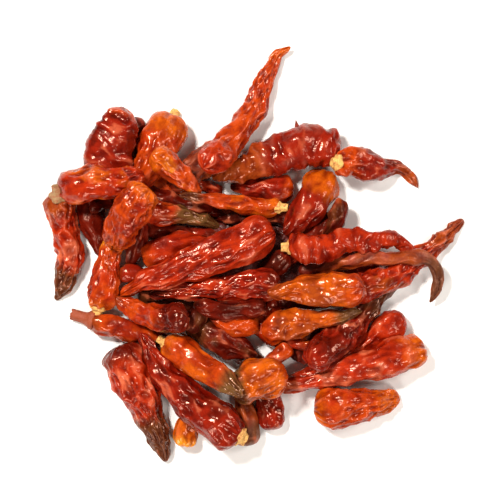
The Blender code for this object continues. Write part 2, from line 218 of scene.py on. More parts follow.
LOWER_PODS = (
    # its salmon blotches are painted highlights
    Pod(((-190, 56), (-186, 22), (-182, -8), (-196, -51)), 31, Finish.VERMILION,
        Tone.SCARLET, Tone.RUST, Tone.BROWN, Tone.SALMON_HIGHLIGHT, 0.5, 0.5, (9, 14),
        Tone.TAN, 22, tip_from=0.68),
    # its salmon blotches are painted highlights
    Pod(((-131, -96), (-121, -120), (-108, -147), (-97, -174), (-85, -214)), 44,
        Finish.VERMILION, Tone.SCARLET, Tone.MAROON, Tone.BROWN, Tone.SALMON_HIGHLIGHT, 0.4, 0.45,
        blotched=0.2, tip_from=0.6),
    Pod(((65, -159), (92, -158), (122, -154), (151, -149)), 43, Finish.VERMILION,
        Tone.VERMILION, Tone.ORANGE, Tone.ORANGE, Tone.SCARLET, 0.3, 0.65, tip_from=0.7),
    Pod(((-30, 102), (-51, 85), (-80, 62)), 33, Finish.PAPERY,
        Tone.RUST, Tone.VERMILION, Tone.MAROON, Tone.MAROON),
    Pod(((-148, 72), (-142, 91), (-134, 114), (-126, 142)), 48, Finish.CRIMSON,
        Tone.CRIMSON, Tone.MAROON, Tone.VERMILION, Tone.MAROON, 0.42, 0.85,
        lay=Lay.ACROSS, tip_from=0.86),
    Pod(((-78, 133), (-89, 108), (-101, 85), (-115, 65)), 42, Finish.ORANGE,
        Tone.VERMILION, Tone.ORANGE, Tone.CRIMSON, Tone.SCARLET, 0.4, 0.8, (9, 11),
        crown_to=0.28),
    Pod(((-153, -58), (-146, -32), (-142, -8), (-134, 16)), 31, Finish.ORANGE,
        Tone.VERMILION, Tone.ORANGE, Tone.AMBER, Tone.SCARLET, 0.4, 0.75, (8, 12),
        tip_from=0.8),
    Pod(((-62, -66), (-92, -68), (-116, -58), (-137, -46)), 31, Finish.SCARLET,
        Tone.VERMILION, Tone.MAROON, Tone.RUST, Tone.SCARLET, 0.35, 0.5, crown_to=0.3),
    Pod(((8, -72), (-10, -75), (-40, -67)), 25, Finish.ORANGE,
        Tone.VERMILION, Tone.RUST, Tone.MAROON, Tone.RUST, 0.4, 0.7),
    Pod(((14, -57), (-18, -59), (-56, -56)), 21, Finish.DARK,
        Tone.MAROON, Tone.OXBLOOD, Tone.OXBLOOD, Tone.OXBLOOD, lay=Lay.ALONG),
    Pod(((-108, -7), (-66, 5), (-18, 2)), 29, Finish.SCARLET,
        Tone.SCARLET, Tone.VERMILION, Tone.CRIMSON, Tone.CRIMSON, 0.35, 0.7,
        lay=Lay.SLACK),
    Pod(((-126, 46), (-92, 37), (-60, 33), (-28, 22)), 26, Finish.SCARLET,
        Tone.SCARLET, Tone.SCARLET, Tone.OLIVE, Tone.VERMILION, 0.35, 0.35,
        tip_from=0.5),
    # its salmon blotches are painted highlights
    Pod(((176, -101), (140, -109), (110, -117), (90, -123), (48, -133), (22, -134)), 38,
        Finish.VERMILION, Tone.SCARLET, Tone.ORANGE, Tone.RUST, Tone.SALMON_HIGHLIGHT, 0.25, 0.65,
        lay=Lay.SLACK, blotched=0.4),
    Pod(((21, -181), (18, -155), (6, -122)), 28, Finish.CRIMSON,
        Tone.CRIMSON, Tone.CRIMSON, Tone.OXBLOOD, Tone.MAROON, 0.35, 0.8),
    Pod(((58, -111), (82, -95), (107, -67), (130, -45), (154, -30)), 39, Finish.CRIMSON,
        Tone.MAROON, Tone.CRIMSON, Tone.BROWN, Tone.CRIMSON, 0.35, 0.45, crown_to=0.07,
        tip_from=0.6),
    Pod(((100, -40), (138, -30), (172, -6), (195, 11), (216, 31)), 30, Finish.SCARLET,
        Tone.SCARLET, Tone.CRIMSON, Tone.RUST, Tone.RUST, 0.35, 0.55, tip_from=0.7),
)
MIDDLE_PODS = (
    Pod(((-9, -187), (-46, -162), (-81, -128), (-111, -82)), 43, Finish.CRIMSON,
        Tone.CRIMSON, Tone.CRIMSON, Tone.CRIMSON, Tone.MAROON, 0.3, 0.45, (6, 13),
        lay=Lay.SLACK, blotched=0.5),
    Pod(((50, -22), (98, -12), (150, -7), (174, -10), (187, -24), (189, -38), (181, -53)), 17,
        Finish.PAPERY, Tone.RUST, Tone.MAROON, Tone.BROWN, Tone.MAUVE, 0.3, 0.8,
        lay=Lay.ALONG, tip_from=0.68),
    Pod(((91, 98), (58, 104), (20, 93), (-38, 72)), 44, Finish.CRIMSON,
        Tone.CRIMSON, Tone.CRIMSON, Tone.RUST, Tone.MAUVE, 0.3, 0.75, lay=Lay.ACROSS,
        tip_from=0.6),
    Pod(((80, 78), (62, 46), (34, 16)), 37, Finish.CRIMSON,
        Tone.CRIMSON, Tone.ORANGE, Tone.MAROON, Tone.MAROON, 0.45, 0.65, crown_to=0.35,
        lay=Lay.SLACK),
    Pod(((-186, 63), (-150, 66), (-125, 68), (-104, 72)), 37, Finish.SCARLET,
        Tone.SCARLET, Tone.CRIMSON, Tone.SCARLET, Tone.ORANGE, 0.35, 0.8, lift=-14,
        blotched=0.45),
    Pod(((-98, 60), (-115, 42), (-128, 21), (-137, 2)), 37, Finish.ORANGE,
        Tone.VERMILION, Tone.ORANGE, Tone.ORANGE, Tone.CRIMSON, 0.4, 0.9,
        lay=Lay.CRINKLED),
    Pod(((12, -78), (42, -75), (75, -69), (112, -61)), 30, Finish.ORANGE,
        Tone.RUST, Tone.VERMILION, Tone.OLIVE, Tone.ORANGE, 0.3, 0.4,
        blotched=0.45, tip_from=0.75),
    Pod(((35, -121), (8, -130), (-19, -137)), 45, Finish.ORANGE,
        Tone.ORANGE, Tone.VERMILION, Tone.OLIVE, Tone.RUST, 0.4, 0.9, tip_from=0.72),
    Pod(((-86, -92), (-52, -111), (-28, -126), (-8, -144)), 33, Finish.ORANGE,
        Tone.VERMILION, Tone.ORANGE, Tone.OLIVE, Tone.ORANGE, 0.35, 0.7, (7, 9),
        tip_from=0.75, lay=Lay.SLACK),
    Pod(((30, -37), (0, -35), (-45, -40), (-103, -44)), 30, Finish.CRIMSON,
        Tone.CRIMSON, Tone.MAROON, Tone.MAROON, Tone.SCARLET, 0.25, 0.55,
        lay=Lay.TIGHT),
)
TOP_PODS = (
    Pod(((-46, 80), (-24, 103), (-4, 126), (10, 153), (19, 177), (28, 196), (41, 205)), 31,
        Finish.VERMILION, Tone.VERMILION, Tone.SCARLET, Tone.ORANGE, Tone.SCARLET,
        0.25, 0.5),
    Pod(((-97, 96), (-72, 75), (-50, 52)), 24, Finish.ORANGE,
        Tone.VERMILION, Tone.ORANGE, Tone.BROWN, Tone.AMBER, 0.35, 0.8, blotched=0.45,
        crown_to=0.22),
    Pod(((112, -38), (80, -40), (50, -38), (17, -42)), 37, Finish.ORANGE,
        Tone.ORANGE, Tone.VERMILION, Tone.RUST, Tone.RUST, 0.35, 0.5,
        lay=Lay.SLACK, blotched=0.45),
    Pod(((38, 3), (76, 4), (118, 10), (148, 7), (170, -4)), 32, Finish.VERMILION,
        Tone.SCARLET, Tone.SCARLET, Tone.CRIMSON, Tone.CRIMSON, 0.28, 0.5, (7, 10),
        lay=Lay.ACROSS),
    Pod(((85, 87), (110, 86), (135, 83), (150, 81), (161, 74), (170, 63)), 30,
        Finish.SCARLET, Tone.CRIMSON, Tone.VERMILION, Tone.RUST, Tone.MAROON, 0.35, 0.25,
        (4, 11), lift=-8, crown_to=0.2, tip_from=0.68),
    Pod(((30, 43), (-5, 46), (-38, 51), (-70, 54)), 20, Finish.VERMILION,
        Tone.VERMILION, Tone.ORANGE, Tone.BROWN, Tone.ORANGE, 0.35, 0.6, (8, 9),
        lay=Lay.ALONG, tip_from=0.8),
    Pod(((22, 21), (-6, 6), (-34, -5), (-73, -21), (-105, -32), (-132, -47)), 42,
        Finish.SCARLET, Tone.SCARLET, Tone.SCARLET, Tone.VERMILION, Tone.CRIMSON,
        0.2, 0.55, lay=Lay.ALONG),
)


@dataclass(frozen=True)
class Spur:
    """A torn point of skin that stands out from a pod's side."""

    pod: int  # the number of its pod
    share: float  # how far along the pod it stands, as a share of its length
    length: float  # steps
    width: float  # steps
    tone: Tone


SPURS = (Spur(46, 0.30, 13, 9, Tone.CRIMSON),)


class Grain:
    """Smooth seeded noise in space, worked out for many points at once."""

    CELLS = 256
    GAIN = 1.6  # brings the noise to about -1 to 1
    FAR = 4.0  # more than the squared distance to any nearest hollow
    SCATTER = 0.45  # how far a hollow lies from the middle of its cell
    ROUNDING = 0.01  # smooths the bottoms of the hollows
    CREST_GAIN = 2.2
    CREST_DROP = 1.2

    def __init__(self, seed: int) -> None:
        """Draw the lattice of slopes from the seed."""
        rng = np.random.default_rng(seed)
        self.order = rng.permutation(self.CELLS)
        slopes = rng.normal(size=(self.CELLS, 3))
        self.slopes = slopes / np.linalg.norm(slopes, axis=1, keepdims=True)

    def at(self, points: np.ndarray) -> np.ndarray:
        """Give the noise at some points.

        Args:
            points: one row of x, y and z for each point, in cells.

        Returns:
            One value for each point, from about -1 to 1.
        """
        cell = np.floor(points).astype(int)
        inside = points - cell
        ease = inside**3 * (inside * (inside * 6 - 15) + 10)
        total = np.zeros(len(points))
        for corner in product((0, 1), repeat=3):
            spot = (cell + corner) % self.CELLS
            key = self.order[(self.order[spot[:, 0]] + spot[:, 1]) % self.CELLS]
            key = self.order[(key + spot[:, 2]) % self.CELLS]
            weight = np.where(np.array(corner), ease, 1 - ease).prod(axis=1)
            total += weight * (self.slopes[key] * (inside - corner)).sum(axis=1)
        return self.GAIN * total

    def hollows(self, points: np.ndarray) -> np.ndarray:
        """Give a net of sharp crests round smooth hollows at some points.

        Args:
            points: one row of x, y and z for each point, in cells.

        Returns:
            One value for each point, from about -1 in a hollow to 0.7 on a crest.
        """
        cell = np.floor(points).astype(int)
        nearest = np.full(len(points), self.FAR)
        for step in product((-1, 0, 1), repeat=3):
            spot = cell + step
            wrapped = spot % self.CELLS
            key = self.order[(self.order[wrapped[:, 0]] + wrapped[:, 1]) % self.CELLS]
            key = self.order[(key + wrapped[:, 2]) % self.CELLS]
            apart = points - spot - 0.5 - self.SCATTER * self.slopes[key]
            nearest = np.minimum(nearest, (apart * apart).sum(axis=1))
        return self.CREST_GAIN * np.sqrt(nearest + self.ROUNDING) - self.CREST_DROP


def eased(values: np.ndarray, low: float, high: float) -> np.ndarray:
    """Give 0 below low, 1 above high, and a smooth rise between."""
    share = np.clip((values - low) / (high - low), 0.0, 1.0)
    return share * share * (3 - 2 * share)


def faded(values: np.ndarray, edge: float, fade: Fade) -> np.ndarray:
    """Give the smooth rise from 0 to 1 over the span of a fade round its edge."""
    return eased(values, edge + fade[0], edge + fade[1])


class Spine:
    """The middle line of a pod, with its height over the table once it has settled."""

    CURVE_PIECES = 8
    FULL_POWER = 4
    SLIM_POWER = 1.3
    HEADING_SHARE = 0.02

    def __init__(self, pod: Pod) -> None:
        """Draw one smooth curve through the points of the pod's line."""
        self.pod = pod
        self.curve = self.smooth_line(pod.line)
        self.runs = [0.0]
        for here, there in zip(self.curve, self.curve[1:]):
            self.runs.append(self.runs[-1] + (there - here).length)
        self.chord = (self.curve[-1] - self.curve[0]).normalized()
        self.height = 0.0
        self.slope = 0.0
        self.bow = 0.0

    def smooth_line(self, points: Plan) -> list[Vector]:
        """Join plan points by one smooth curve.

        Args:
            points: the points of the line, in steps.

        Returns:
            Points of the curve, in metres.
        """
        spots = [Vector((x * STEP, y * STEP)) for x, y in points]
        spots = [2 * spots[0] - spots[1], *spots, 2 * spots[-1] - spots[-2]]
        curve = []
        for before, start, end, after in zip(spots, spots[1:], spots[2:], spots[3:]):
            for piece in range(self.CURVE_PIECES):
                u = piece / self.CURVE_PIECES
                bend = 2 * before - 5 * start + 4 * end - after
                twist = 3 * start - before - 3 * end + after
                curve.append(0.5 * (2 * start + (end - before) * u + bend * u**2 + twist * u**3))
        return [*curve, spots[-2]]

    @property
    def length(self) -> float:
        """Length of the pod along its curve."""
        return self.runs[-1]

    def flat_point(self, t: float) -> Vector:
        """Give the plan point at the share t of the length."""
        run = min(max(t, 0.0), 1.0) * self.length
        piece = 0
        while piece < len(self.runs) - 2 and self.runs[piece + 1] < run:
            piece += 1
        part = (run - self.runs[piece]) / (self.runs[piece + 1] - self.runs[piece])
        return self.curve[piece].lerp(self.curve[piece + 1], part)

    def reach(self, point: Vector) -> float:
        """Give how far along the chord a plan point is."""
        return (point - self.curve[0]).dot(self.chord)

    def half_width(self, t: float) -> float:
        """Give half the pod's width at the share t of its length."""
        pod = self.pod
        half = pod.width * STEP / 2
        shoulder = min(pod.belly, half / self.length)
        if t < shoulder:
            return half * math.sqrt(max(0.0, 1 - (1 - t / shoulder) ** 2))
        if t < pod.belly:
            return half
        u = min(1.0, (t - pod.belly) / (1 - pod.belly))
        full = math.sqrt(1 - u**self.FULL_POWER)
        slim = (1 - u) ** self.SLIM_POWER
        return half * (pod.fullness * full + (1 - pod.fullness) * slim)

    def point(self, t: float) -> Vector:
        """Give the settled middle of the pod at the share t of its length."""
        flat = self.flat_point(t)
        curl = self.pod.lift * STEP * max(0.0, 1 - 2 * t) ** 2
        rise = self.slope * self.reach(flat) + self.bow * self.length * (2 * t - 1) ** 2
        return Vector((flat.x, flat.y, self.height + rise + curl))

    def frame(self, t: float) -> tuple[Vector, Vector, Vector]:
        """Give the middle, the sideways direction and the upward one at the share t."""
        ahead, behind = min(1.0, t + self.HEADING_SHARE), max(0.0, t - self.HEADING_SHARE)
        along = self.point(ahead) - self.point(behind)
        side = along.cross(Vector((0, 0, 1))).normalized()
        return self.point(t), side, side.cross(along).normalized()


@dataclass(frozen=True)
class Table:
    """Lays the pods down one by one, each as low and level as those beneath it let it."""

    press: float = 0.0018  # how far a hollow, wrinkled pod beds into another
    floor_press: float = 0.0005  # how far it flattens on the table
    flatness: float = 0.8  # thickness of a pod over its width
    core_middle: tuple[float, float] = (-2, -8)  # steps
    core_radii: tuple[float, float] = (92, 40)  # steps
    core_height: float = 0.0055
    stations: int = 16  # places along a pod where its rest is worked out
    steepest: float = 0.46  # rise over run of the steepest pod
    lean_cost: float = 0.1  # how much a pod would rather lie level than low
    bows: tuple[float, ...] = (-0.1, -0.05, 0.0, 0.05, 0.1)  # rise of the ends, by length

    def height_of_core(self, x: float, y: float) -> float:
        """Give the height of the core's top at a plan point in metres."""
        across = (x / STEP - self.core_middle[0]) / self.core_radii[0]
        along = (y / STEP - self.core_middle[1]) / self.core_radii[1]
        return self.core_height * math.sqrt(max(0.0, 1 - across**2 - along**2))

    def needed_height(self, flat: Vector, half: float, laid: list) -> float:
        """Give the least height of a pod's middle at one place.

        Args:
            flat: the place on the plan, in metres.
            half: half the pod's width there.
            laid: place, half width and height of each station already laid.

        Returns:
            The height over the table that clears all of them.
        """
        need = half * self.flatness - self.floor_press
        under_core = self.height_of_core(flat.x, flat.y)
        if under_core > 0:
            need = max(need, under_core + half * self.flatness - self.press)
        for other, other_half, other_height in laid:
            clear = half + other_half - self.press
            apart = (flat - other).length
            if apart < clear:
                rise = self.flatness * math.sqrt(clear**2 - apart**2)
                need = max(need, other_height + rise)
        return need

    def lowest_lie(
        self, runs: list[float], shares: list[float], needs: list[float], length: float
    ) -> tuple[float, float, float]:
        """Find how a pod lies lowest, clear of its supports.

        Args:
            runs: how far along the chord each station is.
            shares: the share of the length at each station.
            needs: the least height of the middle at each station.
            length: the pod's length.

        Returns:
            The height, slope and bow of the lie.
        """
        lies = []
        for bow in self.bows:
            left = [need - bow * length * (2 * t - 1) ** 2 for need, t in zip(needs, shares)]
            slopes = {0.0}
            for near, near_need in zip(runs, left):
                for far, far_need in zip(runs, left):
                    if far > near:
                        slopes.add((far_need - near_need) / (far - near))
            for slope in slopes:
                if abs(slope) <= self.steepest:
                    height = max(need - slope * run for run, need in zip(runs, left))
                    mean = height + slope * sum(runs) / len(runs) + bow * length / 3
                    cost = mean + self.lean_cost * abs(slope) * length
                    lies.append((cost, height, slope, bow))
        return min(lies)[1:]

    def settle(self, pods: tuple[Pod, ...]) -> list[Spine]:
        """Lay the pods down in their order.

        Args:
            pods: the pods from the table up.

        Returns:
            The settled middle line of each.
        """
        shares = [(station + 0.5) / self.stations for station in range(self.stations)]
        spines = []
        laid = []
        for pod in pods:
            spine = Spine(pod)
            flats = [spine.flat_point(t) for t in shares]
            halves = [spine.half_width(t) for t in shares]
            needs = [self.needed_height(flat, half, laid) for flat, half in zip(flats, halves)]
            runs = [spine.reach(flat) for flat in flats]
            lie = self.lowest_lie(runs, shares, needs, spine.length)
            spine.height, spine.slope, spine.bow = lie
            spines.append(spine)
            for t, flat, half in zip(shares, flats, halves):
                laid.append((flat, half, spine.point(t).z))
        return spines


class Graph:
    """A material's node tree, with short ways to add and join its nodes."""

    WANDER_SHARE = 0.7  # size of a net's meshes over that of the noise it wanders by

    def __init__(self, name: str) -> None:
        """Start a material with its shader."""
        self.material = bpy.data.materials.new(name)
        self.material.use_nodes = True
        self.tree = self.material.node_tree
        self.shader = self.tree.nodes["Principled BSDF"]

    def node(self, kind: str, feeds: dict, **fields: object) -> bpy.types.Node:
        """Add a node, set its fields and feed its sockets.

        Args:
            kind: the node's type.
            feeds: what each socket is fed, by the socket's name or number.
            fields: the node's own settings.

        Returns:
            The node.
        """
        made = self.tree.nodes.new(kind)
        for name, value in fields.items():
            setattr(made, name, value)
        for socket, value in feeds.items():
            self.feed(made.inputs[socket], value)
        return made

    def feed(self, socket: bpy.types.NodeSocket, value: object) -> None:
        """Join an output to a socket, or set the socket's own value."""
        if isinstance(value, bpy.types.NodeSocket):
            self.tree.links.new(value, socket)
        else:
            socket.default_value = value

    def set(self, name: str, value: object) -> None:
        """Feed one of the shader's sockets by its name."""
        self.feed(self.shader.inputs[name], value)

    def attribute(self, name: str, output: str = "Fac") -> bpy.types.NodeSocket:
        """Read an attribute of the mesh."""
        return self.node("ShaderNodeAttribute", {}, attribute_name=name).outputs[output]

    def place(self) -> bpy.types.NodeSocket:
        """Read the place on the object, in metres."""
        return self.node("ShaderNodeTexCoord", {}).outputs["Object"]

    def noise(
        self, size: float, detail: float = 2.0, rough: float = 0.5, bend: float = 0.0
    ) -> bpy.types.NodeSocket:
        """Add soft noise.

        Args:
            size: size of its spots in metres.
            detail: number of finer layers in it.
            rough: strength of each finer layer.
            bend: how far it distorts itself.

        Returns:
            Its value, from 0 to 1.
        """
        feeds = {"Vector": self.place(), "Scale": 1 / size, "Detail": detail}
        feeds |= {"Roughness": rough, "Distortion": bend}
        return self.node("ShaderNodeTexNoise", feeds).outputs["Fac"]

    def cracks(self, size: float, warp: float) -> bpy.types.NodeSocket:
        """Add a net of fine creases.

        Args:
            size: size of its meshes in metres.
            warp: how far, in metres, the net wanders.

        Returns:
            The distance from the nearest crease, in meshes.
        """
        scale = self.WANDER_SHARE / size
        wander = self.node("ShaderNodeTexNoise", {"Vector": self.place(), "Scale": scale})
        feeds = {0: wander.outputs["Color"], 1: (warp, warp, warp), 2: self.place()}
        shift = self.node("ShaderNodeVectorMath", feeds, operation="MULTIPLY_ADD")
        feeds = {"Vector": shift.outputs["Vector"], "Scale": 1 / size}
        net = self.node("ShaderNodeTexVoronoi", feeds, feature="DISTANCE_TO_EDGE")
        return net.outputs["Distance"]

    def span(
        self, value: object, low: float, high: float, start: float = 0.0, end: float = 1.0
    ) -> bpy.types.NodeSocket:
        """Map values between low and high smoothly onto start to end."""
        feeds = dict(enumerate((value, low, high, start, end)))
        made = self.node("ShaderNodeMapRange", feeds, interpolation_type="SMOOTHSTEP")
        return made.outputs["Result"]

    def sum(self, one: object, other: object, weight: float) -> bpy.types.NodeSocket:
        """Add one value and another times its weight."""
        feeds = {0: other, 1: weight, 2: one}
        return self.node("ShaderNodeMath", feeds, operation="MULTIPLY_ADD").outputs[0]

    def mix(
        self, factor: object, one: object, other: object, blend: str = "MIX"
    ) -> bpy.types.NodeSocket:
        """Mix two colours.

        Args:
            factor: share of the other colour.
            one: the first colour.
            other: the other colour.
            blend: the way of mixing.

        Returns:
            The mixed colour.
        """
        feeds = {0: factor, 6: one, 7: other}
        made = self.node("ShaderNodeMix", feeds, data_type="RGBA", blend_type=blend)
        return made.outputs[2]

    def shade(self, factor: object, colour: object, tone: Tone) -> bpy.types.NodeSocket:
        """Darken a colour by a tone laid over it."""
        return self.mix(factor, colour, paint(tone), "MULTIPLY")

    def bump(self, height: object, strength: float, depth: float) -> None:
        """Give the shader's surface a fine relief, depth in metres."""
        feeds = {"Strength": strength, "Distance": depth, "Height": height}
        self.set("Normal", self.node("ShaderNodeBump", feeds).outputs["Normal"])


def paint(tone: Tone) -> tuple[float, float, float, float]:
    """Give a tone with its opacity."""
    return (*tone.value, 1.0)


@dataclass(frozen=True)
class SkinFinish:
    """The dried skin of one kind of pod, over the tones that its mesh carries."""

    name: str
    gloss: tuple[float, float]  # roughness where it is waxy and where it is dull
    freckle: Tone
    freckled: float  # share of the freckles that show
    specular: float = 0.5
    sheen: Colour = (1.0, 0.55, 0.42)  # tint of its reflections, seen straight on
    valley_shading: float = 0.85  # how dark the painted shade in the folds' bottoms is
    crest: float = 0.45  # how pale the painted highlight on the crests is
    relief: float = 0.00005  # depth of the fine wrinkles
    bumpiness: float = 0.7  # how much of that depth shows
    cloud_size: float = 0.0045
    speck_size: float = 0.0009
    speck_share: float = 0.3  # height of the specks over the wrinkles
    wrinkle_size: float = 0.0019
    wrinkle_warp: float = 0.0016  # how far the wrinkles wander
    crease_shading: float = 0.35  # how dark the painted shade in the fine wrinkles is

    def material(self) -> bpy.types.Material:
        """Build the material: tones, freckles, painted shade in the folds, painted highlights on
        the crests, and fine wrinkles with painted shade in their creases.
        """
        graph = Graph(self.name)
        fold = graph.attribute("fold")
        cloud = graph.noise(self.cloud_size, 4.0, 0.55, 0.6)
        speck = graph.noise(self.speck_size)
        net = graph.cracks(self.wrinkle_size, self.wrinkle_warp)
        tone = graph.attribute("tone", "Color")
        tone = graph.shade(graph.span(cloud, 0.40, 0.68), tone, Tone.CLOUD_SHADE)
        freckles = graph.span(speck, 0.64, 0.80, 0.0, self.freckled)
        tone = graph.mix(freckles, tone, paint(self.freckle))
        # painted shade: the bottoms of the folds are darkened
        tone = graph.shade(graph.span(fold, -0.7, 0.15, self.valley_shading, 0.0), tone, Tone.PAINTED_FOLD_SHADE)
        # painted highlight: the crests are paled towards salmon
        tone = graph.mix(graph.span(fold, 0.20, 0.75, 0.0, self.crest), tone, paint(Tone.SALMON_HIGHLIGHT))
        # painted shade: the net of fine creases is darkened
        tone = graph.shade(graph.span(net, 0.0, 0.08, self.crease_shading, 0.0), tone, Tone.PAINTED_CREASE_SHADE)
        graph.set("Base Color", tone)
        graph.set("Roughness", graph.span(cloud, 0.35, 0.7, *self.gloss))
        graph.set("Specular IOR Level", self.specular)
        graph.set("Specular Tint", (*self.sheen, 1.0))
        rise = graph.sum(graph.span(net, 0.0, 0.3), speck, self.speck_share)
        graph.bump(rise, self.bumpiness, self.relief)
        return graph.material


SKINS = {
    Finish.DARK: SkinFinish("dark_skin", (0.20, 0.36), Tone.OXBLOOD, 0.2, specular=0.25),
    Finish.CRIMSON: SkinFinish("crimson_skin", (0.14, 0.26), Tone.MAROON, 0.1),
    Finish.SCARLET: SkinFinish("scarlet_skin", (0.15, 0.28), Tone.MAROON, 0.1),
    Finish.VERMILION: SkinFinish("vermilion_skin", (0.16, 0.30), Tone.CRIMSON, 0.1),
    Finish.ORANGE: SkinFinish("orange_skin", (0.16, 0.28), Tone.RUST, 0.1, valley_shading=0.7, crest=0.25),
    Finish.PAPERY: SkinFinish("papery_skin", (0.32, 0.55), Tone.TAN, 0.4, crest=0.35),
}


@dataclass(frozen=True)
class PodSkins:
    """The pods of one finish, as one piece of true-size, wrinkled skins."""

    finish: Finish
    facet: float = 0.00034  # spacing of the mesh on the pods that show
    hidden_facet: float = 0.00055  # and on those under the rest
    fewest: int = 12  # facets round half a pod or along it
    dent_size: float = 0.0080
    dent_depth: float = 0.0018
    dent_mean: float = 0.15  # share of that depth taken off, so that a pod keeps its size
    fold_depth: float = 0.00085
    minor_share: float = 0.45  # height of the smaller folds over the larger
    minor_spacing: float = 0.55  # and their spacing over the larger ones'
    calm_size: float = 0.01  # size of the spots where the folds are low
    calm_share: float = 0.55  # height of the folds there
    blunt_power: float = 2.6  # roundness of a skin's blunt end, where 2 is a half ball
    end_share: float = 0.4  # share of the width below which the relief fades out
    warp_size: float = 0.006
    warp_reach: float = 0.0016
    blotch_size: float = 0.0065
    blotch_level: float = 0.55  # noise at the edges of the rarest blotches
    blotch_fade: Fade = (-0.12, 0.3)
    blotch_tint: float = 0.85  # how much of its tone a blotch shows
    fleck_size: float = 0.0028  # of the smaller blotches
    fleck_share: float = 0.45
    crown_fade: Fade = (-0.06, 0.08)
    tip_fade: Fade = (-0.08, 0.08)
    edge_size: float = 0.004  # of the rags at the edges of crown and tip
    edge_share: float = 0.05  # how far those reach, as a share of the pod's length

    def build(self, spines: list[tuple[int, Spine]], flatness: float) -> bpy.types.Object:
        """Make the piece.

        Args:
            spines: number and settled middle line of each pod of the heap.
            flatness: thickness of a pod over its width.

        Returns:
            The finished piece.
        """
        bm = bmesh.new()
        for number, spine in spines:
            if spine.pod.finish is self.finish:
                gather(bm, self.pod(number, spine, flatness))
        return finished(f"{self.finish.value}_pods", bm, SKINS[self.finish].material())

    def pod(self, number: int, spine: Spine, flatness: float) -> bmesh.types.BMesh:
        """Make one pod: a ball drawn out along its line, then dented and folded.

        Args:
            number: the pod's place in the heap's order.
            spine: the pod's middle line.
            flatness: thickness of a pod over its width.

        Returns:
            The pod's mesh, with its tones and the heights of its folds.
        """
        facet = self.facet if number > len(BOTTOM_PODS) else self.hidden_facet
        girth = math.pi * spine.pod.width * STEP * (1 + flatness) / 2
        sides = 2 * max(self.fewest, round(girth / facet / 2))
        rings = 2 * max(self.fewest, round(spine.length / facet / 2))
        bm = bmesh.new()
        bmesh.ops.create_uvsphere(bm, u_segments=sides // 2, v_segments=rings // 2, radius=1.0)
        bmesh.ops.subdivide_edges(bm, edges=bm.edges, cuts=1, use_grid_fill=True)
        ball = np.array([vert.co.normalized() for vert in bm.verts])
        even = np.arccos(np.clip(ball[:, 2], -1.0, 1.0)) / math.pi
        ring = np.rint(even * rings).astype(int)
        shares = [self.share_of(level / rings) for level in range(rings + 1)]
        frames = np.array([[tuple(part) for part in spine.frame(t)] for t in shares])
        halves = np.array([self.blunt(spine, t) if 0 < t < 1 else 0.0 for t in shares])
        share = np.array(shares)[ring]
        turn = np.arctan2(ball[:, 1], ball[:, 0])
        radius = spine.pod.width * STEP / 2
        skin = np.column_stack(
            (np.cos(turn) * radius, np.sin(turn) * radius * flatness, share * spine.length)
        )
        height, fold = self.relief(skin, number, spine.pod.lay)
        half = halves[ring]
        fade = eased(half, 0.0, self.end_share * radius)
        reach = np.where(half > 0, half + height * fade, 0.0)
        middle, side, up = frames[ring, 0], frames[ring, 1], frames[ring, 2]
        across = side * (reach * np.cos(turn))[:, None]
        place = middle + across + up * (reach * flatness * np.sin(turn))[:, None]
        place[:, 2] = np.maximum(place[:, 2], 0.0)
        colour = self.colours(skin, share, number, spine.pod)
        tones = bm.verts.layers.float_color.new("tone")
        folds = bm.verts.layers.float.new("fold")
        for vert, spot, shade, rise in zip(
            bm.verts, place.tolist(), colour.tolist(), fold.tolist()
        ):
            vert.co = spot
            vert[tones] = shade
            vert[folds] = rise
        return bm

    def blunt(self, spine: Spine, t: float) -> float:
        """Give half a skin's width at the share t, a little squarer at the blunt end."""
        half = spine.pod.width * STEP / 2
        shoulder = min(spine.pod.belly, half / spine.length)
        if t >= shoulder:
            return spine.half_width(t)
        return half * (1 - (1 - t / shoulder) ** self.blunt_power) ** (1 / self.blunt_power)

    def share_of(self, even: float) -> float:
        """Spread the rings along a pod, closer together over its blunt end."""
        return (1 - even / 2) * (1 - math.cos(even * math.pi)) / 2 + even**2 / 2

    def relief(
        self, skin: np.ndarray, number: int, lay: Lay
    ) -> tuple[np.ndarray, np.ndarray]:
        """Work out a skin's dents and folds.

        Args:
            skin: places on the unbent skin, in metres.
            number: the pod's number, which seeds its noise.
            lay: how its folds run.

        Returns:
            The height of the skin over its smooth form, and how high up a fold each
            place is, from about -1 to 1.
        """
        grain = Grain(number)
        wander = [grain.at(skin / self.warp_size + WARP_START * axis) for axis in range(3)]
        warped = skin + np.column_stack(wander) * self.warp_reach
        along, round_it = lay.value
        spacing = np.array((round_it, round_it, along))
        dents = grain.at(skin / self.dent_size + DENT_START)
        folds = grain.hollows(warped / spacing)
        minor = grain.hollows(warped / (spacing * self.minor_spacing) + MINOR_START)
        lively = eased(grain.at(skin / self.calm_size + CALM_START), -0.4, 0.4)
        uneven = self.calm_share + (1 - self.calm_share) * lively
        fold = uneven * (folds + self.minor_share * minor)
        height = self.dent_depth * (dents - self.dent_mean) + self.fold_depth * fold
        return height, np.clip(fold, -1.0, 1.0)

